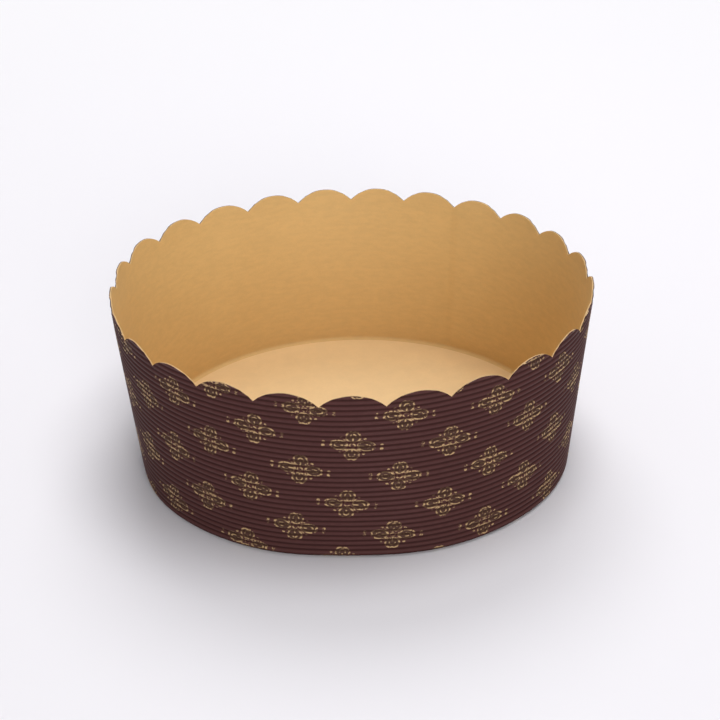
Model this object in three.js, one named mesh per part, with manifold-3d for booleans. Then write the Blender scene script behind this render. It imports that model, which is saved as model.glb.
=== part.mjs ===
// Round paper baking cup: a ribbed paper wall with a scalloped rim, and a card base inside it.
// The wall is one strip, lapped and glued at its ends and turned in at the foot. The base is a
// round card that lies on the turned-in flange. Millimetres, +Z up, ground at z = 0, axis on Z.

import * as THREE from "three";
import { mergeVertices, toCreasedNormals } from "three/addons/utils/BufferGeometryUtils.js";
import Module from "manifold-3d";

// The cup as a whole
const RIM_RADIUS = 85; // rib crests, at the height of the valleys between the scallops
const FOOT_RADIUS = 79; // rib crests, where the wall's slope would reach the ground
const VALLEY_HEIGHT = 60; // ground to the valleys between the scallops

// Scalloped rim
const SCALLOP_COUNT = 25;
const SCALLOP_RISE = 4.5; // valley to crown

// Ribbed paper of the wall
const PAPER_THICKNESS = 0.4; // in the groove between two ribs
const RIB_DEPTH = 0.4; // groove to crest
const RIB_PITCH = 2;

// Lap where the strip's ends are glued, seen inside at the back
const LAP_ANGLE = 57.5; // degrees from +X
const LAP_WIDTH = 8; // along the wall
const LAP_STEP = 0.3; // how far the pressed inner end stands out of the wall

// Foot: the fold and the flange turned in under the base
const FOLD_INNER_RADIUS = 1.2;
const FLANGE_THICKNESS = 0.5; // the ribs are pressed flat here
const FLANGE_WIDTH = 8; // flat part, inward from the fold

// Base card
const DISC_THICKNESS = 0.5;
const DISC_EDGE_GAP = 1.2; // card's edge to the start of the fold's curve

// How finely the curves are divided
const COLUMNS_PER_SCALLOP = 2;
const STEPS_PER_FOLD = 3;
const STEPS_PER_HALF_SCALLOP = 3;
const INNER_WALL_ROWS = 3;
const CREASE_ANGLE = THREE.MathUtils.degToRad(30); // keeps ribs crisp and the wall round

const WALL_COLOUR = 0x4a3230;
const BASE_COLOUR = 0xd9b280;

// Follows from the sizes above
const COLUMNS = SCALLOP_COUNT * COLUMNS_PER_SCALLOP;
const RIM_HEIGHT = VALLEY_HEIGHT + SCALLOP_RISE;
const WALL_THICKNESS = PAPER_THICKNESS + RIB_DEPTH;
const FOLD_OUTER_RADIUS = FOLD_INNER_RADIUS + WALL_THICKNESS;
const FLANGE_OUTER_RADIUS = crestRadius(FOLD_OUTER_RADIUS) - FOLD_OUTER_RADIUS;
const DISC_RADIUS = FLANGE_OUTER_RADIUS - DISC_EDGE_GAP;

const wasm = await Module();
wasm.setup();

// Radius of the rib crests at a height
function crestRadius(z) {
  return FOOT_RADIUS + ((RIM_RADIUS - FOOT_RADIUS) * z) / VALLEY_HEIGHT;
}

function innerRadius(z) {
  return crestRadius(z) - WALL_THICKNESS;
}

// Points of the ribbed outer face, from the fold to the rim: crest, groove, crest, ...
function ribbedFace() {
  const points = [];
  const step = RIB_PITCH / 2;
  let z = FOLD_OUTER_RADIUS;
  for (let i = 0; z < RIM_HEIGHT - step / 2; i++, z += step) {
    points.push(new THREE.Vector2(crestRadius(z) - (i % 2) * RIB_DEPTH, z));
  }
  points.push(new THREE.Vector2(crestRadius(RIM_HEIGHT) - RIB_DEPTH / 2, RIM_HEIGHT));
  return points;
}

// Points of the smooth inner face, from the rim down to the fold
function smoothFace() {
  const points = [];
  for (let i = 0; i < INNER_WALL_ROWS; i++) {
    const z = THREE.MathUtils.lerp(RIM_HEIGHT, FOLD_OUTER_RADIUS, i / INNER_WALL_ROWS);
    points.push(new THREE.Vector2(innerRadius(z), z));
  }
  return points;
}

// Quarter curve at the foot, from the flange (0) up to the wall (1), ends included
function foldCurve(reachOut, rise, bottom) {
  const points = [];
  for (let i = 0; i <= STEPS_PER_FOLD; i++) {
    const turn = ((i / STEPS_PER_FOLD) * Math.PI) / 2;
    const r = FLANGE_OUTER_RADIUS + reachOut * Math.sin(turn);
    points.push(new THREE.Vector2(r, bottom + rise * (1 - Math.cos(turn))));
  }
  return points;
}

// Section of the wall, fold and flange, once round against the clock from the flange's edge
function wallSection() {
  const flangeEdge = FLANGE_OUTER_RADIUS - FLANGE_WIDTH;
  const outerFold = foldCurve(FOLD_OUTER_RADIUS, FOLD_OUTER_RADIUS, 0);
  const innerFold = foldCurve(
    FOLD_INNER_RADIUS,
    FOLD_OUTER_RADIUS - FLANGE_THICKNESS,
    FLANGE_THICKNESS,
  );
  return [
    new THREE.Vector2(flangeEdge, 0),
    ...outerFold.slice(0, -1),
    ...ribbedFace(),
    ...smoothFace(),
    ...innerFold.reverse(),
    new THREE.Vector2(flangeEdge, FLANGE_THICKNESS),
  ];
}

// A closed section turned about Z, starting at -Y
function turned(section) {
  return new THREE.LatheGeometry([...section, section[0]], COLUMNS).rotateX(Math.PI / 2);
}

// The strip's inner end: a band of paper on the inner face, as wide as the lap
function lapBand() {
  const sunk = WALL_THICKNESS / 4; // into the wall, so that the two join
  const low = FOLD_OUTER_RADIUS;
  const band = turned([
    new THREE.Vector2(innerRadius(low) - LAP_STEP, low),
    new THREE.Vector2(innerRadius(low) + sunk, low),
    new THREE.Vector2(innerRadius(RIM_HEIGHT) + sunk, RIM_HEIGHT),
    new THREE.Vector2(innerRadius(RIM_HEIGHT) - LAP_STEP, RIM_HEIGHT),
  ]);
  const halfAngle = LAP_WIDTH / RIM_RADIUS / 2;
  const reach = 2 * RIM_RADIUS;
  const sector = new THREE.Shape([
    new THREE.Vector2(0, 0),
    new THREE.Vector2(reach, -reach * Math.tan(halfAngle)),
    new THREE.Vector2(reach, reach * Math.tan(halfAngle)),
  ]);
  const wedge = new THREE.ExtrudeGeometry(sector, { depth: 2 * RIM_HEIGHT, bevelEnabled: false });
  wedge.rotateZ(THREE.MathUtils.degToRad(LAP_ANGLE));
  return solid(band).intersect(solid(wedge));
}

// What the die takes out of the strip's upper edge between two crowns. Each side of the notch
// is half an arc of the scallop's circle, and they meet in a sharp valley.
function notch() {
  const halfWidth = RIM_RADIUS * Math.tan(Math.PI / SCALLOP_COUNT);
  const arcRadius = (halfWidth ** 2 + SCALLOP_RISE ** 2) / (2 * SCALLOP_RISE);
  const outline = [];
  for (let i = -STEPS_PER_HALF_SCALLOP; i <= STEPS_PER_HALF_SCALLOP; i++) {
    const across = (i / STEPS_PER_HALF_SCALLOP) * halfWidth;
    const fromCrown = halfWidth - Math.abs(across);
    const drop = arcRadius - Math.sqrt(arcRadius ** 2 - fromCrown ** 2);
    outline.push(new THREE.Vector2(across, RIM_HEIGHT - drop));
  }
  outline.push(new THREE.Vector2(halfWidth, RIM_HEIGHT + SCALLOP_RISE));
  outline.push(new THREE.Vector2(-halfWidth, RIM_HEIGHT + SCALLOP_RISE));
  const cutter = new THREE.ExtrudeGeometry(new THREE.Shape(outline), {
    depth: 2 * RIM_RADIUS,
    bevelEnabled: false,
  });
  return cutter.rotateX(Math.PI / 2); // now runs from the axis towards -Y
}

function scallopedWall() {
  let wall = solid(turned(wallSection())).add(lapBand());
  for (let i = 0; i < SCALLOP_COUNT; i++) {
    const turn = ((i + 0.5) / SCALLOP_COUNT) * 2 * Math.PI;
    wall = wall.subtract(solid(notch().rotateZ(turn)));
  }
  return geometry(wall);
}

function baseDisc() {
  const disc = new THREE.CylinderGeometry(DISC_RADIUS, DISC_RADIUS, DISC_THICKNESS, COLUMNS);
  disc.rotateX(Math.PI / 2);
  return disc.translate(0, 0, FLANGE_THICKNESS + DISC_THICKNESS / 2);
}

// A closed geometry as a solid that can be joined and cut
function solid(shape) {
  const bare = shape.clone();
  bare.deleteAttribute("normal");
  bare.deleteAttribute("uv");
  const merged = mergeVertices(bare, 1e-4);
  return new wasm.Manifold(
    new wasm.Mesh({
      numProp: 3,
      vertProperties: new Float32Array(merged.attributes.position.array),
      triVerts: new Uint32Array(merged.index.array),
    }),
  );
}

// A solid back as a geometry
function geometry(body) {
  const mesh = body.getMesh();
  const shape = new THREE.BufferGeometry();
  shape.setAttribute("position", new THREE.BufferAttribute(mesh.vertProperties, 3));
  shape.setIndex(new THREE.BufferAttribute(mesh.triVerts, 1));
  return toCreasedNormals(shape, CREASE_ANGLE);
}

function named(name, shape, colour, roughness) {
  const material = new THREE.MeshStandardMaterial({ color: colour, roughness, metalness: 0 });
  const mesh = new THREE.Mesh(shape, material);
  mesh.name = name;
  return mesh;
}

const cup = new THREE.Group();
cup.add(named("side_wall", scallopedWall(), WALL_COLOUR, 0.6));
cup.add(named("base_disc", baseDisc(), BASE_COLOUR, 0.8));

export default cup;
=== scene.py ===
import math

import bpy
from bpy.props import FloatProperty, FloatVectorProperty, IntProperty, PointerProperty
from mathutils import Matrix, Vector
from mathutils import noise as soft_noise


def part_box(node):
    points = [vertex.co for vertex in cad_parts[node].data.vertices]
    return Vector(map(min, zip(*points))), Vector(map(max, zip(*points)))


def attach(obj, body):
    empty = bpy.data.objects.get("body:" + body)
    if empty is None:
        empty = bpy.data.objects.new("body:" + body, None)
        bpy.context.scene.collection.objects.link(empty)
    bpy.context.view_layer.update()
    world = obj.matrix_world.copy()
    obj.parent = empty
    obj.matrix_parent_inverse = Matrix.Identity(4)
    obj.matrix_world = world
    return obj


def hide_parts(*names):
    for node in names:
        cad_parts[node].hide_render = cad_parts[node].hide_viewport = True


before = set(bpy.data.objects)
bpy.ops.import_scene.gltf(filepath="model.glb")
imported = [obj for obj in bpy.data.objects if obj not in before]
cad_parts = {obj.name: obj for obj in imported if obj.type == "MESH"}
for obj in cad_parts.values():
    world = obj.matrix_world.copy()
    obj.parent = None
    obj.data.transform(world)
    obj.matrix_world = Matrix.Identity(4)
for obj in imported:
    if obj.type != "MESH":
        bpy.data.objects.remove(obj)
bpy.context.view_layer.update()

bl_info = {
    "name": "Paper baking cup",
    "version": (1, 0, 0),
    "blender": (4, 5, 0),
    "location": "3D View > Sidebar > Baking Cup",
    "description": "Builds a ribbed paper baking cup with a scalloped rim and a printed wall",
    "category": "Object",
}

MM = 0.001  # a millimetre in metres
BODY = "root"
DISC_LOW, DISC_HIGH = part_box("base_disc")


def length(name, description, default, **more):
    """A property that holds a length in metres."""
    return FloatProperty(
        name=name, description=description, default=default, min=0.0, unit="LENGTH", **more
    )


def colour(name, description, default):
    """A property that holds a colour, as Blender mixes it."""
    return FloatVectorProperty(
        name=name, description=description, default=default, size=4, min=0.0, max=1.0,
        subtype="COLOR",
    )


def paint(red, green, blue):
    """A colour given as it looks on a screen, from 0 to 255, turned into Blender's own."""

    def linear(share):
        return share / 12.92 if share <= 0.04045 else ((share + 0.055) / 1.055) ** 2.4

    return (linear(red / 255), linear(green / 255), linear(blue / 255), 1.0)


class WallSizes(bpy.types.PropertyGroup):
    """Sizes of the ribbed wall, its scalloped rim and its turned-in foot."""

    rim_radius: length("Rim Radius", "Rib crests at the height of the valleys", 85 * MM)
    foot_radius: length("Foot Radius", "Where the wall's slope would reach the ground", 79 * MM)
    valley_height: length("Valley Height", "Ground to the valleys of the rim", 60 * MM)
    scallops: IntProperty(name="Scallops", description="Scallops round the rim", default=25)
    scallop_rise: length("Scallop Rise", "Valley to crown", 4.5 * MM)
    paper: length("Paper", "Thickness in the groove between two ribs", 0.4 * MM)
    rib_depth: length("Rib Depth", "Groove to crest", 0.4 * MM)
    rib_pitch: length("Rib Pitch", "Crest to crest", 2 * MM)
    fold: length("Fold", "Inner radius of the fold at the foot", 1.2 * MM)
    flange: length("Flange", "Thickness of the pressed flange", 0.5 * MM)
    flange_width: length("Flange Width", "Flat part under the base card", 8 * MM)
    lap_angle: FloatProperty(
        name="Lap Angle", description="Where the strip's ends are glued, from +X",
        default=math.radians(57.5), subtype="ANGLE",
    )
    lap_width: length("Lap Width", "Width of the glued lap", 8 * MM)
    lap_step: length("Lap Step", "How far the pressed inner end stands out", 0.3 * MM)
    columns: IntProperty(name="Columns", description="Faces along one scallop", default=14)
    rows: IntProperty(name="Rows", description="Faces over one rib", default=6)
    out_of_round: length("Out of Round", "How far the wall leaves a true circle", 2 * MM)


class PaperColours(bpy.types.PropertyGroup):
    """Colours of the paper, the print and the card."""

    brown: colour("Brown", "Printed outer side of the wall", paint(76, 46, 44))
    gold: colour("Gold", "Blossoms on the outer side", paint(190, 158, 114))
    kraft: colour("Kraft", "Plain inner side of the wall", paint(215, 179, 118))
    card: colour("Card", "Base card", paint(231, 198, 147))
    cut: colour("Cut", "Fibres along the cut edge", paint(214, 178, 126))


class StudioSizes(bpy.types.PropertyGroup):
    """The floor, the lamps and the camera."""

    floor: colour("Floor", "Floor and backdrop", paint(236, 234, 238))
    lens: FloatProperty(name="Lens", description="Millimetres on a 36 mm sensor", default=81.6)
    azimuth: FloatProperty(
        name="Azimuth", description="Camera round the cup", default=math.radians(0.45),
        subtype="ANGLE",
    )
    roll: FloatProperty(
        name="Roll", description="Camera turned about its view", default=math.radians(-1.32),
        subtype="ANGLE",
    )


class BakingCup(bpy.types.PropertyGroup):
    """Everything that a user would change."""

    wall: PointerProperty(type=WallSizes)
    colours: PointerProperty(type=PaperColours)
    studio: PointerProperty(type=StudioSizes)


# Node trees


class Value:
    """A number in a node tree. Sums, products and the calls below add Math nodes."""

    def __init__(self, tree, socket):
        self.tree, self.socket = tree, socket

    def maths(self, operation, *others):
        node = self.tree.nodes.new("ShaderNodeMath")
        node.operation = operation
        for socket, value in zip(node.inputs, (self, *others)):
            feed(self.tree, socket, value)
        return Value(self.tree, node.outputs[0])

    def __add__(self, other):
        return self.maths("ADD", other)

    def __sub__(self, other):
        return self.maths("SUBTRACT", other)

    def __mul__(self, other):
        return self.maths("MULTIPLY", other)

    def __truediv__(self, other):
        return self.maths("DIVIDE", other)

    def __rsub__(self, other):
        return self * -1.0 + other

    __radd__, __rmul__ = __add__, __mul__

    def sin(self):
        return self.maths("SINE")

    def cos(self):
        return self.maths("COSINE")

    def root(self):
        return self.maths("SQRT")

    def floor(self):
        return self.maths("FLOOR")

    def size(self):
        return self.maths("ABSOLUTE")

    def least(self, other):
        return self.maths("MINIMUM", other)

    def most(self, other):
        return self.maths("MAXIMUM", other)

    def angle_to(self, other):
        """The angle of a point: this value is its sine side, the other its cosine side."""
        return self.maths("ARCTAN2", other)

    def ramp(self, start, end, low=0.0, high=1.0):
        """Goes smoothly from low at start to high at end."""
        node = self.tree.nodes.new("ShaderNodeMapRange")
        node.interpolation_type = "SMOOTHSTEP"
        for name, value in zip(
            ("Value", "From Min", "From Max", "To Min", "To Max"), (self, start, end, low, high)
        ):
            feed(self.tree, node.inputs[name], value)
        return Value(self.tree, node.outputs["Result"])

    def toward(self, other, share):
        """This value at share 0, the other at share 1."""
        return self + (other - self) * share


def distance(x, y):
    return (x * x + y * y).root()


def feed(tree, socket, value):
    """Links a value into a socket, or writes a plain number or colour there."""
    if isinstance(value, Value):
        value = value.socket
    if isinstance(value, bpy.types.Node):
        value = value.outputs[0]
    if isinstance(value, bpy.types.NodeSocket):
        tree.links.new(value, socket)
    else:
        socket.default_value = value


def add(tree, kind, settings=None, **inputs):
    """Adds a node, sets its options and feeds its sockets, named here without their spaces."""
    node = tree.nodes.new(kind)
    for name, value in (settings or {}).items():
        setattr(node, name, value)
    for name, value in inputs.items():
        fitting = [s for s in node.inputs if s.name.replace(" ", "") == name and s.enabled]
        if not fitting:
            raise ValueError(f"{kind} has no input {name}")
        feed(tree, fitting[0], value)
    return node


def apart(tree, vector):
    """The three numbers of a vector."""
    node = add(tree, "ShaderNodeSeparateXYZ", Vector=vector)
    return [Value(tree, socket) for socket in node.outputs]


def together(tree, x, y, z):
    return add(tree, "ShaderNodeCombineXYZ", X=x, Y=y, Z=z)


def noise(tree, vector, scale, detail=2.0):
    """A soft random number from 0 to 1, the same at the same place."""
    node = add(tree, "ShaderNodeTexNoise", Vector=vector, Scale=scale, Detail=detail)
    return Value(tree, node.outputs[0])


def new_group(name, kind, takes, gives):
    """A node group with named sockets: its tree, its inputs as values and its output node."""
    tree = bpy.data.node_groups.new(name, kind)
    for title, (socket, default) in takes.items():
        made = tree.interface.new_socket(title, in_out="INPUT", socket_type=socket)
        if default is not None:
            made.default_value = default
    for title, socket in gives.items():
        tree.interface.new_socket(title, in_out="OUTPUT", socket_type=socket)
    source = tree.nodes.new("NodeGroupInput")
    inputs = {s.name: Value(tree, s) for s in source.outputs if s.name}
    return tree, inputs, tree.nodes.new("NodeGroupOutput")


# The wall's shape

PRINTED, KRAFT, CUT = range(3)  # which paper a face of the wall shows

# How many faces each band of the wall's section has
FOLD_ROWS = 6  # round each side of the fold, and across the flange's underside
RIM_ROWS = 20  # from the last even rib up to the scalloped edge
INNER_ROWS = 26  # up the smooth inner face
FLANGE_ROWS = 2  # across the flange's upper side

OUTER_SHEET = 0.45  # share of the cut edge, from outside, that is the brown sheet

# Where the wall leaves its circle: the middle and the half width, in degrees from +X
FOOT_BULGES = ((230, 36), (310, 40))
RIM_BULGE = (148, 28)
EDGE_WAVES = 45.0  # small waves along the free edge, for each metre

SHARP_ANGLE = math.radians(50)  # an edge that turns more than this shows as a crease
SEAM = 0.005 * MM  # points closer than this are one, where two bands meet


def crest_radius(size, height):
    """The cone that the rib crests lie on."""
    slope = (size["Rim Radius"] - size["Foot Radius"]) / size["Valley Height"]
    return size["Foot Radius"] + slope * height


def rim_height(size, angle):
    """Height of the scalloped edge: even arcs that meet in sharp valleys, a crown in front."""
    turn = angle * size["Scallops"] / math.tau + 0.5
    across = (turn - turn.floor() - 0.5) * 2.0  # -1 and 1 in the valleys, 0 on the crown
    half_width = size["Rim Radius"] * math.pi / size["Scallops"]
    rise = size["Scallop Rise"]
    arc = (half_width * half_width + rise * rise) / (rise * 2.0)
    from_crown = across * half_width
    drop = arc - (arc * arc - from_crown * from_crown).root()
    return size["Valley Height"] + rise - drop


def outer_radius(size, height):
    """The ribbed face: even waves from the crests into the paper."""
    phase = (height - size["Fold Outside"]) / size["Rib Pitch"] * math.tau
    return crest_radius(size, height) - size["Rib Depth"] * (1.0 - phase.cos()) * 0.5


def lap_share(size, angle):
    """1 on the strip's pressed inner end, with a sharp edge on one side and a soft one behind."""
    from_lap = (angle - size["Lap Angle"] - math.pi / 2) * size["Rim Radius"]
    half = size["Lap Width"] / 2.0
    sharp = from_lap.ramp(half, half + 0.3 * MM, 1.0, 0.0)
    return from_lap.ramp(half * -2.5, half * -0.5) * sharp


def inner_radius(size, angle, height):
    """The smooth face inside, with the step of the lap."""
    lap = lap_share(size, angle) * height.ramp(size["Fold Outside"], size["Fold Outside"] * 2.0)
    return crest_radius(size, height) - size["Wall"] - lap * size["Lap Step"]


def band(tree, size, rows, side, section):
    """A band of faces that closes round the axis. section gives the radius and the height for
    an angle, counted from the front, and a row."""
    around = size["Columns"] * size["Scallops"]
    grid = add(
        tree, "GeometryNodeMeshGrid", SizeX=1.0, SizeY=1.0, VerticesX=around + 1, VerticesY=rows + 1
    )
    x, y, _ = apart(tree, add(tree, "GeometryNodeInputPosition"))
    angle, row = (x + 0.5) * math.tau, (y + 0.5) * rows
    radius, height = section(angle, row)
    place = together(tree, angle.sin() * radius, angle.cos() * radius * -1.0, height)
    placed = add(tree, "GeometryNodeSetPosition", Geometry=grid, Position=place)
    return add(
        tree, "GeometryNodeStoreNamedAttribute", {"data_type": "INT", "domain": "FACE"},
        Geometry=placed, Name="side", Value=side,
    )


def wall_bands(tree, size):
    """The wall's section, band by band, against the clock from the flange's inner edge."""
    fold_out, flange_out = size["Fold Outside"], size["Flange Outside"]
    flange_in = flange_out - size["Flange Width"]
    rib_step = size["Rib Pitch"] / size["Rows"]
    even_ribs = ((size["Valley Height"] - fold_out) / size["Rib Pitch"]).floor() - 1.0
    even_rows = even_ribs * size["Rows"]
    even_top = fold_out + even_rows * rib_step

    def crease(angle, radius):
        """Small creases that open from the fold towards the flange's inner edge."""
        around = size["Columns"] * size["Scallops"]
        column = (angle / math.tau * around + 0.5).floor().maths("MODULO", around)
        random = add(tree, "ShaderNodeTexWhiteNoise", {"noise_dimensions": "1D"}, W=column)
        deep = Value(tree, random.outputs["Value"]).ramp(0.35, 1.0)
        return deep * radius.ramp(flange_out, flange_in) * size["Flange"] * 0.5

    def underside(angle, row):
        radius = flange_in.toward(flange_out, row / FOLD_ROWS)
        return radius, crease(angle, radius)

    def outer_fold(angle, row):
        turn = row / FOLD_ROWS * (math.pi / 2)
        return flange_out + fold_out * turn.sin(), fold_out * (1.0 - turn.cos())

    def ribbed_face(angle, row):
        even = row.least(even_rows) * rib_step + fold_out
        share = (row - even_rows).most(0.0) / RIM_ROWS
        height = even + (rim_height(size, angle) - even_top) * share
        return outer_radius(size, height), height

    def cut_edge(start, end):
        def section(angle, row):
            height = rim_height(size, angle)
            outside, inside = outer_radius(size, height), inner_radius(size, angle, height)
            return outside.toward(inside, row * (end - start) + start), height

        return section

    def smooth_face(angle, row):
        height = rim_height(size, angle).toward(fold_out, row / INNER_ROWS)
        return inner_radius(size, angle, height), height

    def inner_fold(angle, row):
        turn = (FOLD_ROWS - row) / FOLD_ROWS * (math.pi / 2)
        rise = fold_out - size["Flange"]
        return flange_out + size["Fold"] * turn.sin(), size["Flange"] + rise * (1.0 - turn.cos())

    def flange_top(angle, row):
        return flange_out.toward(flange_in, row / FLANGE_ROWS), size["Flange"]

    def flange_edge(angle, row):
        return flange_in, size["Flange"].toward(crease(angle, flange_in), row)

    return [
        band(tree, size, FOLD_ROWS, PRINTED, underside),
        band(tree, size, FOLD_ROWS, PRINTED, outer_fold),
        band(tree, size, even_rows + RIM_ROWS, PRINTED, ribbed_face),
        band(tree, size, 1, PRINTED, cut_edge(0.0, OUTER_SHEET)),
        band(tree, size, 1, CUT, cut_edge(OUTER_SHEET, 1.0)),
        band(tree, size, INNER_ROWS, KRAFT, smooth_face),
        band(tree, size, FOLD_ROWS, KRAFT, inner_fold),
        band(tree, size, FLANGE_ROWS, KRAFT, flange_top),
        band(tree, size, 1, CUT, flange_edge),
    ]


def out_of_round(tree, size, mesh):
    """Moves the wall a little out of its true circle, as the soft paper stands in the photo:
    two wide bulges at the foot, one at the rim, and small waves along the free edge."""
    place = add(tree, "GeometryNodeInputPosition")
    x, y, z = apart(tree, place)
    radius, angle = distance(x, y), y.angle_to(x)

    def bulge(middle, half_width):
        """1 in the middle of a bulge, 0 past its sides."""
        away = (angle - math.radians(middle)).cos()
        return away.ramp(math.cos(math.radians(half_width)), 1.0)

    height = size["Valley Height"]
    left_foot, right_foot = (bulge(*where) for where in FOOT_BULGES)
    foot = (left_foot + right_foot) * z.ramp(height * 0.8, 0.0)
    rim = bulge(*RIM_BULGE) * z.ramp(0.0, height)
    flange_out = size["Flange Outside"]
    wide = (foot + rim) * radius.ramp(flange_out - size["Flange Width"], flange_out)
    small = (noise(tree, place, EDGE_WAVES, 0.0) - 0.5) * z.ramp(height * 0.8, height) * 0.3
    reach = size["Out of Round"] * (wide + small)
    offset = together(tree, x / radius * reach, y / radius * reach, 0.0)
    return add(tree, "GeometryNodeSetPosition", Geometry=mesh, Offset=offset)


def wall_titles():
    """The wall's sizes: each property's name and its title, which is also its socket's name."""
    return {
        name: item.keywords["name"] for name, item in WallSizes.__annotations__.items()
    }


def build_wall_tree(papers):
    """The tree that makes the whole wall from its sizes, one closed body."""
    takes = {"Geometry": ("NodeSocketGeometry", None)}
    for name, title in wall_titles().items():
        takes[title] = ("NodeSocketFloat", 0.0)
    tree, size, out = new_group(
        "ribbed wall", "GeometryNodeTree", takes, {"Geometry": "NodeSocketGeometry"}
    )
    size["Wall"] = size["Paper"] + size["Rib Depth"]
    size["Fold Outside"] = size["Fold"] + size["Wall"]
    size["Flange Outside"] = crest_radius(size, size["Fold Outside"]) - size["Fold Outside"]
    joined = tree.nodes.new("GeometryNodeJoinGeometry")
    for piece in reversed(wall_bands(tree, size)):
        tree.links.new(piece.outputs[0], joined.inputs[0])
    merged = add(tree, "GeometryNodeMergeByDistance", Geometry=joined, Distance=SEAM)
    bulged = out_of_round(tree, size, merged)
    edges = add(tree, "GeometryNodeInputMeshEdgeAngle")
    sharp = Value(tree, edges.outputs["Unsigned Angle"]).maths("GREATER_THAN", SHARP_ANGLE)
    smooth = add(tree, "GeometryNodeSetShadeSmooth", {"domain": "FACE"}, Geometry=bulged)
    crisp = add(
        tree, "GeometryNodeSetShadeSmooth", {"domain": "EDGE"},
        Geometry=smooth, Selection=sharp, ShadeSmooth=False,
    )
    whole = add(tree, "GeometryNodeRealizeInstances", Geometry=crisp)
    named = add(tree, "GeometryNodeInputNamedAttribute", {"data_type": "INT"}, Name="side")
    side = Value(tree, next(socket for socket in named.outputs if socket.enabled))
    for number, paper in enumerate(papers):
        whole = add(
            tree, "GeometryNodeSetMaterial", Geometry=whole,
            Selection=side.maths("COMPARE", float(number), 0.5), Material=paper,
        )
    feed(tree, out.inputs[0], whole)
    return tree


# Finishes


def mix(tree, share, first, second):
    """A blend of two colours."""
    node = tree.nodes.new("ShaderNodeMix")
    node.data_type = "RGBA"
    factor, colour_a, colour_b = node.inputs[0], node.inputs[6], node.inputs[7]
    for socket, value in ((factor, share), (colour_a, first), (colour_b, second)):
        feed(tree, socket, value)
    return node.outputs[2]


def shaded(rgba, factor):
    """A colour made darker or lighter."""
    return (*(min(1.0, part * factor) for part in rgba[:3]), 1.0)


def grained(tree, shade, rgba, dark, light):
    """A colour that the paper's grain makes a little darker and lighter."""
    return mix(tree, shade.ramp(0.3, 0.7), shaded(rgba, dark), shaded(rgba, light))


def build_fibres():
    """Grain of paper: long faint fibres and a fine tooth."""
    tree, takes, out = new_group(
        "paper fibres", "ShaderNodeTree",
        {"Vector": ("NodeSocketVector", None), "Fibres per Metre": ("NodeSocketFloat", 900.0)},
        {"Shade": "NodeSocketFloat", "Height": "NodeSocketFloat"},
    )
    scale = takes["Fibres per Metre"]
    x, y, z = apart(tree, takes["Vector"])
    along = together(tree, x * 0.35, y * 0.35, z)
    fibre = noise(tree, along, scale, 4.0)
    tooth = noise(tree, takes["Vector"], scale * 2.4, 2.0)
    cloud = noise(tree, takes["Vector"], scale * 0.03, 2.0)
    feed(tree, out.inputs["Shade"], fibre * 0.5 + tooth * 0.25 + cloud * 0.25)
    feed(tree, out.inputs["Height"], fibre * 0.6 + tooth * 0.4)
    return tree


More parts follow.
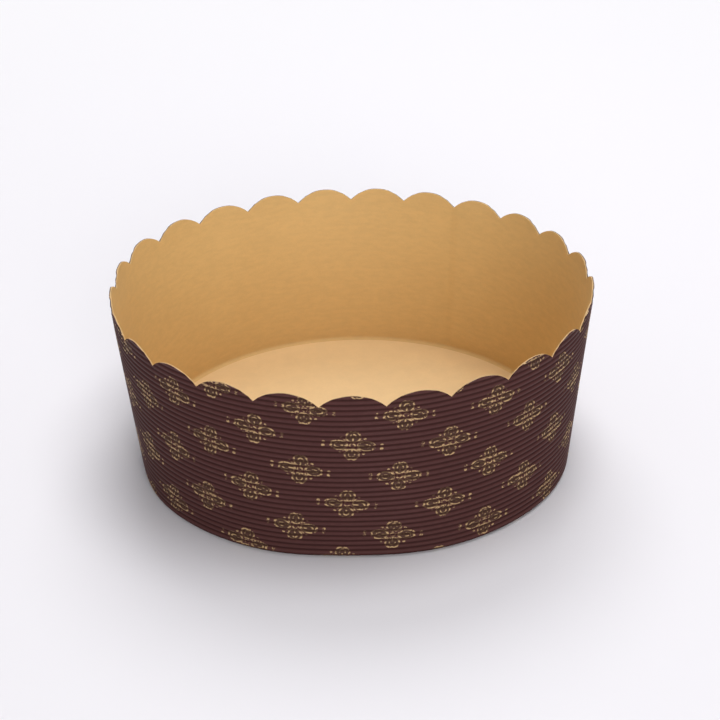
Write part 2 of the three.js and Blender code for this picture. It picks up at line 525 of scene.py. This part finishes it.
def build_blossoms():
    """Blossoms in staggered rows, as printed on the flat strip before it was rolled up."""
    takes = {
        "Vector": ("NodeSocketVector", None),
        "Rim Radius": ("NodeSocketFloat", 85 * MM),
        "Foot Radius": ("NodeSocketFloat", 79 * MM),
        "Valley Height": ("NodeSocketFloat", 60 * MM),
        "Rib Pitch": ("NodeSocketFloat", 2 * MM),
        "Fold Outside": ("NodeSocketFloat", 2 * MM),
        "Lap Angle": ("NodeSocketFloat", math.radians(57.5)),
        "Level Angle": ("NodeSocketFloat", math.radians(326.5)),
        "Half Column": ("NodeSocketFloat", 16.03 * MM),
        "Row": ("NodeSocketFloat", 11.79 * MM),
        "First Across": ("NodeSocketFloat", -130.7 * MM),
        "First Up": ("NodeSocketFloat", 53.7 * MM),
        "Blossom Width": ("NodeSocketFloat", 14.8 * MM),
        "Blossom Height": ("NodeSocketFloat", 11.4 * MM),
        "Line": ("NodeSocketFloat", 0.44 * MM),
    }
    tree, size, out = new_group(
        "gold blossoms", "ShaderNodeTree", takes,
        {"Ink": "NodeSocketFloat", "Petals": "NodeSocketFloat"},
    )
    x, y, z = apart(tree, size["Vector"])

    # Where a point of the wall lay on the flat strip. The flange went on below the foot, and
    # the strip was cut open at the lap.
    run = size["Rim Radius"] - size["Foot Radius"]
    turned_in = size["Foot Radius"] + run * z / size["Valley Height"] - distance(x, y)
    level = z - (turned_in - size["Rib Pitch"] * 0.25).most(0.0)
    taper = run / distance(run, size["Valley Height"])
    back = size["Lap Angle"] + math.pi
    turned_x = x * back.cos() + y * back.sin()
    turned_y = y * back.cos() - x * back.sin()
    from_level = turned_y.angle_to(turned_x) + (back - size["Level Angle"])
    bend = from_level * taper
    reach = (size["Foot Radius"] + run * level / size["Valley Height"]) / taper
    across = reach * bend.sin()
    up = reach * bend.cos() - size["Foot Radius"] / taper

    # The nearest blossom's middle: the even rows' or the odd rows', half a pitch along
    column = (across - size["First Across"]) / size["Half Column"]
    row = (up - size["First Up"]) / size["Row"]

    def to_nearest(value, shift):
        half = (value + shift) * 0.5
        return (half - (half + 0.5).floor()) * 2.0

    even = to_nearest(column, 0.0), to_nearest(row, 0.0)
    odd = to_nearest(column, 1.0), to_nearest(row, 1.0)
    is_odd = (even[0].size() + even[1].size()).maths("GREATER_THAN", 1.0)
    wide = even[0].toward(odd[0], is_odd) * size["Half Column"]
    high = even[1].toward(odd[1], is_odd) * size["Row"]

    # One petal serves for all four: long is along its middle, side is across it. From here on
    # lengths are shares of half the blossom.
    half_width, half_height = size["Blossom Width"] * 0.5, size["Blossom Height"] * 0.5
    right, top = (wide / half_width).size(), (high / half_height).size()
    long, side = right.most(top), right.least(top)
    thick = size["Line"] / half_height

    def line(gap, width=1.0):
        return gap.size().ramp(thick * 0.35 * width, thick * 0.75 * width, 1.0, 0.0)

    def dot(at_x, at_y, radius):
        return distance(at_x, at_y).ramp(radius * 0.6, radius * 1.2, 1.0, 0.0)

    notch = side.ramp(0.0, 0.12, 0.16, 0.0) * long.ramp(0.7, 0.9)
    petal = distance((long - 0.6) / 0.37, side / 0.31) + notch
    inner = distance((long - 0.58) / 0.2, side / 0.13)
    outline = line((petal - 1.0) * 0.34)
    ink = outline.most(line((inner - 1.0) * 0.16, 0.7) * long.ramp(0.5, 0.6))
    vein = line(side, 0.8) * long.ramp(0.16, 0.24) * long.ramp(0.46, 0.54, 1.0, 0.0)
    stamen = line((long - side) * 0.7, 0.8) * long.ramp(0.2, 0.26) * long.ramp(0.36, 0.44, 1.0, 0.0)
    ink = ink.most(vein).most(stamen)
    ink = ink.most(dot(long - 0.52, side - 0.5, 0.06)).most(line(distance(long, side) - 0.12, 0.8))
    outlying = dot(right - 1.26, (top - 0.12) * 0.8, 0.08)
    ink = ink.most(outlying)

    # The ink is faded to a tenth in the grooves and kept whole on the crests, which paints the
    # grooves' shade into the print; it also has small breaks
    phase = (z - size["Fold Outside"]) / size["Rib Pitch"] * math.tau
    crest = phase.cos().ramp(-0.4, 0.8, 0.1, 1.0)
    breaks = noise(tree, size["Vector"], 1500.0, 1.0).ramp(0.36, 0.52)
    feed(tree, out.inputs["Ink"], ink * crest * breaks)
    feed(tree, out.inputs["Petals"], petal.ramp(0.9, 1.05, 1.0, 0.0))
    return tree


def group_node(tree, group, **inputs):
    """Places a node group in a tree and feeds its sockets."""
    return add(tree, "ShaderNodeGroup", {"node_tree": group}, **inputs)


def start_paper(name, fibres, per_metre):
    """A new material with its shader, the object's own coordinates and the paper's grain."""
    material = bpy.data.materials.new(name)
    material.use_nodes = True
    tree = material.node_tree
    shader = tree.nodes["Principled BSDF"]
    place = tree.nodes.new("ShaderNodeTexCoord").outputs["Object"]
    grain = group_node(tree, fibres, Vector=place, FibresperMetre=per_metre)
    shade, height = (Value(tree, socket) for socket in grain.outputs)
    return material, tree, shader, place, shade, height


def raise_surface(tree, shader, height, depth):
    """Turns a height into small relief, depth metres high."""
    bump = add(tree, "ShaderNodeBump", Height=height, Distance=depth)
    feed(tree, shader.inputs["Normal"], bump.outputs["Normal"])


def rib_wave(tree, place, wall):
    """1 on the crests of the ribs, 0 in the grooves."""
    z = apart(tree, place)[2]
    fold_outside = wall.fold + wall.paper + wall.rib_depth
    return ((z - fold_outside) / wall.rib_pitch * math.tau).cos() * 0.5 + 0.5


def printed_paper(fibres, blossoms, wall, colours):
    """Outer side: brown print with gold blossoms on ribbed paper, a little satin, with painted
    shade in the grooves.
    """
    material, tree, shader, place, shade, height = start_paper("printed_paper", fibres, 1400.0)
    brown = tuple(colours.brown)
    crest = rib_wave(tree, place, wall)
    ground = grained(tree, shade, brown, 0.9, 1.12)
    # Painted shade: towards the grooves between the ribs the brown is blended up to three quarters
    # of the way to 0.4 of itself.
    ground = mix(tree, crest.ramp(0.0, 0.6, 0.75, 0.0), ground, shaded(brown, 0.4))
    print_node = group_node(
        tree, blossoms, Vector=place, RimRadius=wall.rim_radius, FootRadius=wall.foot_radius,
        ValleyHeight=wall.valley_height, RibPitch=wall.rib_pitch,
        FoldOutside=wall.fold + wall.paper + wall.rib_depth, LapAngle=wall.lap_angle,
    )
    # The ink comes faded in the grooves: painted shade, so that the gold shows as dashes along the
    # crests.
    ink = Value(tree, print_node.outputs["Ink"])
    petals = Value(tree, print_node.outputs["Petals"])
    ground = mix(tree, petals * 0.35, ground, shaded(tuple(colours.gold), 0.12))
    feed(tree, shader.inputs["Base Color"], mix(tree, ink, ground, tuple(colours.gold)))
    feed(tree, shader.inputs["Metallic"], ink * 0.3)
    feed(tree, shader.inputs["Roughness"], shade.ramp(0.2, 0.8, 0.64, 0.76) - ink * 0.15)
    shader.inputs["Specular IOR Level"].default_value = 0.05
    feed(tree, shader.inputs["Coat Weight"], crest.ramp(0.5, 1.0, 0.0, 0.2))
    shader.inputs["Coat Roughness"].default_value = 0.3
    raise_surface(tree, shader, height, 0.03 * MM)
    return material


def kraft_paper(fibres, wall, colours):
    """Inner side: plain kraft with faint lines where the ribs show through."""
    material, tree, shader, place, shade, height = start_paper("kraft_paper", fibres, 700.0)
    kraft = tuple(colours.kraft)
    crest = rib_wave(tree, place, wall)
    x, y, z = apart(tree, place)
    streak = noise(tree, together(tree, x * 0.12, y * 0.12, z), 420.0, 3.0)
    ground = grained(tree, shade, kraft, 0.93, 1.05)
    ground = mix(tree, streak.ramp(0.35, 0.75, 0.0, 0.12), ground, shaded(kraft, 0.86))
    feed(tree, shader.inputs["Base Color"], ground)
    feed(tree, shader.inputs["Roughness"], shade.ramp(0.2, 0.8, 0.62, 0.78))
    raise_surface(tree, shader, height * 0.6 + crest * 0.2, 0.05 * MM)
    return material


def base_card(fibres, colours):
    """Base: smooth pale card with a faint mottle."""
    material, tree, shader, place, shade, height = start_paper("base_card", fibres, 500.0)
    card = tuple(colours.card)
    cloud = noise(tree, place, 28.0, 3.0)
    ground = grained(tree, shade, card, 0.95, 1.03)
    ground = mix(tree, cloud.ramp(0.4, 0.7, 0.0, 0.25), ground, shaded(card, 0.93))
    feed(tree, shader.inputs["Base Color"], ground)
    feed(tree, shader.inputs["Roughness"], shade.ramp(0.2, 0.8, 0.66, 0.8))
    raise_surface(tree, shader, height, 0.04 * MM)
    return material


def cut_fibres(fibres, colours):
    """Die-cut edges: bare, rough fibres."""
    material, tree, shader, _, shade, height = start_paper("cut_fibres", fibres, 2500.0)
    ground = grained(tree, shade, tuple(colours.cut), 0.75, 1.05)
    feed(tree, shader.inputs["Base Color"], ground)
    feed(tree, shader.inputs["Roughness"], shade.ramp(0.2, 0.8, 0.8, 0.95))
    raise_surface(tree, shader, height, 0.08 * MM)
    return material


def shared(name, build):
    """A node group that is built once and then used again."""
    return bpy.data.node_groups.get(name) or build()


# The pieces


def add_object(name, mesh):
    piece = bpy.data.objects.new(name, mesh)
    bpy.context.scene.collection.objects.link(piece)
    return piece


def fit_piece(piece, node):
    """Ties a piece to the cup's body and puts it in place of its plain solid."""
    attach(piece, BODY)
    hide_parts(node)


class BuildWall(bpy.types.Operator):
    """Build the ribbed, printed wall with its scalloped rim and turned-in foot"""

    bl_idname = "baking_cup.wall"
    bl_label = "Side Wall"

    def execute(self, context):
        cup = context.scene.baking_cup
        fibres = shared("paper fibres", build_fibres)
        papers = [
            printed_paper(fibres, shared("gold blossoms", build_blossoms), cup.wall, cup.colours),
            kraft_paper(fibres, cup.wall, cup.colours),
            cut_fibres(fibres, cup.colours),
        ]
        shaper = add_object("wall_shaper", bpy.data.meshes.new("wall_shaper"))
        modifier = shaper.modifiers.new("ribbed wall", "NODES")
        modifier.node_group = build_wall_tree(papers)
        titles = wall_titles()
        by_title = {title: getattr(cup.wall, name) for name, title in titles.items()}
        for item in modifier.node_group.interface.items_tree:
            if item.in_out == "INPUT" and item.name in by_title:
                modifier[item.identifier] = float(by_title[item.name])
        context.view_layer.update()
        made = shaper.evaluated_get(context.evaluated_depsgraph_get())
        mesh = bpy.data.meshes.new_from_object(made)
        bpy.data.objects.remove(shaper)
        if not mesh.polygons:
            raise RuntimeError("the wall's tree made no faces")
        mesh.name = "side_wall_paper"
        fit_piece(add_object("side_wall_paper", mesh), "side_wall")
        return {"FINISHED"}


CARD_COLUMNS = 200  # faces round the base card
CARD_RINGS = (0.06, 0.15, 0.3, 0.45, 0.6, 0.75, 0.87, 0.95, 1.0)  # shares of its radius
CARD_GLUED = 0.87  # share of its radius where the flange starts, which holds the card flat
CARD_WARP = 0.25 * MM
CARD_WAVES = 22  # for each metre


def card_lift(x, y, radius):
    """A card is never quite flat between its glued edges."""
    inside = max(0.0, 1.0 - (math.hypot(x, y) / (radius * CARD_GLUED)) ** 2)
    return CARD_WARP * inside * soft_noise.noise(Vector((x * CARD_WAVES, y * CARD_WAVES, 0.3)))


def build_card_mesh():
    """A round card of rings of faces, each side closed in the middle with a fan."""
    radius = -DISC_LOW.y
    rings = [radius * share for share in CARD_RINGS]
    points, faces = [], []
    for height, order in ((DISC_HIGH.z, rings), (DISC_LOW.z, rings[::-1])):
        for ring in order:
            for step in range(CARD_COLUMNS):
                turn = math.tau * step / CARD_COLUMNS
                x, y = ring * math.cos(turn), ring * math.sin(turn)
                points.append((x, y, height + card_lift(x, y, radius)))
    loops = 2 * len(rings)
    for loop in range(loops - 1):
        for step in range(CARD_COLUMNS):
            here = loop * CARD_COLUMNS + step
            there = loop * CARD_COLUMNS + (step + 1) % CARD_COLUMNS
            faces.append((here, here + CARD_COLUMNS, there + CARD_COLUMNS, there))
    top, bottom = len(points), len(points) + 1
    middle = card_lift(0, 0, radius)
    points += [(0, 0, DISC_HIGH.z + middle), (0, 0, DISC_LOW.z + middle)]
    last = (loops - 1) * CARD_COLUMNS
    for step in range(CARD_COLUMNS):
        then = (step + 1) % CARD_COLUMNS
        faces.append((top, step, then))
        faces.append((bottom, last + then, last + step))
    mesh = bpy.data.meshes.new("base_card")
    mesh.from_pydata(points, [], faces)
    mesh.polygons.foreach_set("use_smooth", [True] * len(faces))
    mesh.set_sharp_from_angle(angle=math.radians(40))
    return mesh


class BuildBase(bpy.types.Operator):
    """Build the round base card that lies on the turned-in flange"""

    bl_idname = "baking_cup.base"
    bl_label = "Base Card"

    def execute(self, context):
        cup = context.scene.baking_cup
        mesh = build_card_mesh()
        fibres = shared("paper fibres", build_fibres)
        mesh.materials.append(base_card(fibres, cup.colours))
        mesh.validate()
        fit_piece(add_object("base_card", mesh), "base_disc")
        return {"FINISHED"}


# The studio

WHITE = paint(252, 251, 254)  # the background, as the camera sees it
AIR_LIGHT = 0.24  # strength of the world's light on the cup
LAMP_WIDTH = 0.9
LAMP_AIM = Vector((0.0, 0.0, 0.03))
LAMPS = (  # name, place and watts
    ("top_lamp", (0.25, 0.0, 1.45), 9.5),
    ("back_lamp", (0.0, 0.9, 1.2), 10.0),
    ("front_lamp", (0.2, -1.5, 0.5), 13.0),
)
SENSOR_WIDTH = 36.0  # millimetres
CAMERA_PLACE = Vector((0.0, -0.5243, 0.3106))
CAMERA_AIM = Vector((0.0024, 0.0, 0.0319))

# The floor and the backdrop, in metres
FLOOR_HEIGHT = -0.05 * MM  # just under the cup, so that the two faces don't coincide
FLOOR_FRONT = -2.5
FLOOR_BACK = 1.2  # where the floor starts to curve up
BEND_RADIUS = 0.8
BEND_STEPS = 16
BACKDROP_HEIGHT = 3.0
HALF_WIDTH = 3.0
SHADE_TO = 0.15  # this far from the axis the floor has its own shade, which holds the shadow
WHITE_FROM = 0.9  # from here on it shows as even white


def seen(tree):
    """1 where the camera or a reflection looks, 0 for the light that falls on the cup."""
    path = tree.nodes.new("ShaderNodeLightPath")
    names = ("Is Camera Ray", "Is Glossy Ray", "Is Transmission Ray")
    camera, glossy, through = (Value(tree, path.outputs[name]) for name in names)
    return camera.most(glossy).most(through)


def floor_finish(rgba):
    """Pale, plain floor that holds the shadow, and shows as even white far from the cup."""
    material = bpy.data.materials.new("studio_floor")
    material.use_nodes = True
    tree = material.node_tree
    shader = tree.nodes["Principled BSDF"]
    shader.inputs["Base Color"].default_value = rgba
    shader.inputs["Roughness"].default_value = 0.9
    shader.inputs["Specular IOR Level"].default_value = 0.2
    x, y, z = apart(tree, tree.nodes.new("ShaderNodeTexCoord").outputs["Object"])
    white = add(tree, "ShaderNodeEmission", Color=WHITE, Strength=1.0)
    blend = tree.nodes.new("ShaderNodeMixShader")
    far = distance(x, y).most(z).ramp(SHADE_TO, WHITE_FROM)
    feed(tree, blend.inputs[0], far * seen(tree))
    feed(tree, blend.inputs[1], shader.outputs["BSDF"])
    feed(tree, blend.inputs[2], white)
    feed(tree, tree.nodes["Material Output"].inputs["Surface"], blend)
    return material


def build_backdrop(rgba):
    """A floor that curves up into a backdrop behind the cup."""
    line = [(FLOOR_FRONT, FLOOR_HEIGHT), (FLOOR_BACK, FLOOR_HEIGHT)]
    for step in range(1, BEND_STEPS + 1):
        turn = math.pi / 2 * step / BEND_STEPS
        back = FLOOR_BACK + BEND_RADIUS * math.sin(turn)
        line.append((back, FLOOR_HEIGHT + BEND_RADIUS * (1 - math.cos(turn))))
    line.append((FLOOR_BACK + BEND_RADIUS, BACKDROP_HEIGHT))
    points = [(x, y, z) for y, z in line for x in (-HALF_WIDTH, HALF_WIDTH)]
    faces = [(2 * i, 2 * i + 1, 2 * i + 3, 2 * i + 2) for i in range(len(line) - 1)]
    mesh = bpy.data.meshes.new("studio_backdrop")
    mesh.from_pydata(points, [], faces)
    mesh.polygons.foreach_set("use_smooth", [True] * len(faces))
    mesh.materials.append(floor_finish(rgba))
    add_object("studio_backdrop", mesh)


def add_lamp(name, place, watts):
    """A round soft lamp that faces the cup."""
    lamp = bpy.data.lights.new(name, "AREA")
    lamp.energy = watts
    lamp.size = LAMP_WIDTH
    lamp.shape = "DISK"
    holder = add_object(name, lamp)
    holder.location = place
    holder.rotation_euler = (LAMP_AIM - holder.location).to_track_quat("-Z", "Y").to_euler()


def add_camera(studio):
    """The photograph's view: a long lens a little above the rim."""
    camera = bpy.data.cameras.new("camera")
    camera.lens = studio.lens
    camera.sensor_width = SENSOR_WIDTH
    camera.clip_start = 0.01
    camera.clip_end = 20.0
    holder = add_object("camera", camera)
    view = (CAMERA_AIM - CAMERA_PLACE).to_track_quat("-Z", "Y").to_matrix()
    around = Matrix.Rotation(studio.azimuth, 3, "Z")
    roll = Matrix.Rotation(studio.roll, 3, "Z")
    turned = (around @ view @ roll).to_quaternion()
    holder.matrix_world = Matrix.LocRotScale(around @ CAMERA_PLACE, turned, None)
    bpy.context.scene.camera = holder


class BuildStudio(bpy.types.Operator):
    """Set up the floor, the backdrop, the lamps and the camera"""

    bl_idname = "baking_cup.studio"
    bl_label = "Studio"

    def execute(self, context):
        studio = context.scene.baking_cup.studio
        build_backdrop(tuple(studio.floor))
        for name, place, watts in LAMPS:
            add_lamp(name, place, watts)
        world = bpy.data.worlds.new("studio_air")
        world.use_nodes = True
        air = world.node_tree
        background = air.nodes["Background"]
        background.inputs["Color"].default_value = WHITE
        feed(air, background.inputs["Strength"], seen(air) * (1.0 - AIR_LIGHT) + AIR_LIGHT)
        context.scene.world = world
        context.scene.view_settings.view_transform = "Standard"
        add_camera(studio)
        return {"FINISHED"}


class CupPanel(bpy.types.Panel):
    """Lists the cup's sizes and colours, and the buttons that build it"""

    bl_idname = "VIEW3D_PT_baking_cup"
    bl_label = "Baking Cup"
    bl_space_type = "VIEW_3D"
    bl_region_type = "UI"
    bl_category = "Baking Cup"

    def draw(self, context):
        cup = context.scene.baking_cup
        for group in (cup.wall, cup.colours, cup.studio):
            box = self.layout.box()
            for name in type(group).__annotations__:
                box.prop(group, name)
        for operator in OPERATORS:
            self.layout.operator(operator.bl_idname)


OPERATORS = (BuildWall, BuildBase, BuildStudio)
CLASSES = (WallSizes, PaperColours, StudioSizes, BakingCup, *OPERATORS, CupPanel)


def register():
    for cls in CLASSES:
        bpy.utils.register_class(cls)
    bpy.types.Scene.baking_cup = PointerProperty(type=BakingCup)


def unregister():
    del bpy.types.Scene.baking_cup
    for cls in reversed(CLASSES):
        bpy.utils.unregister_class(cls)


def main():
    register()
    bpy.ops.baking_cup.wall()
    bpy.ops.baking_cup.base()
    bpy.ops.baking_cup.studio()


if __name__ == "__main__":
    main()
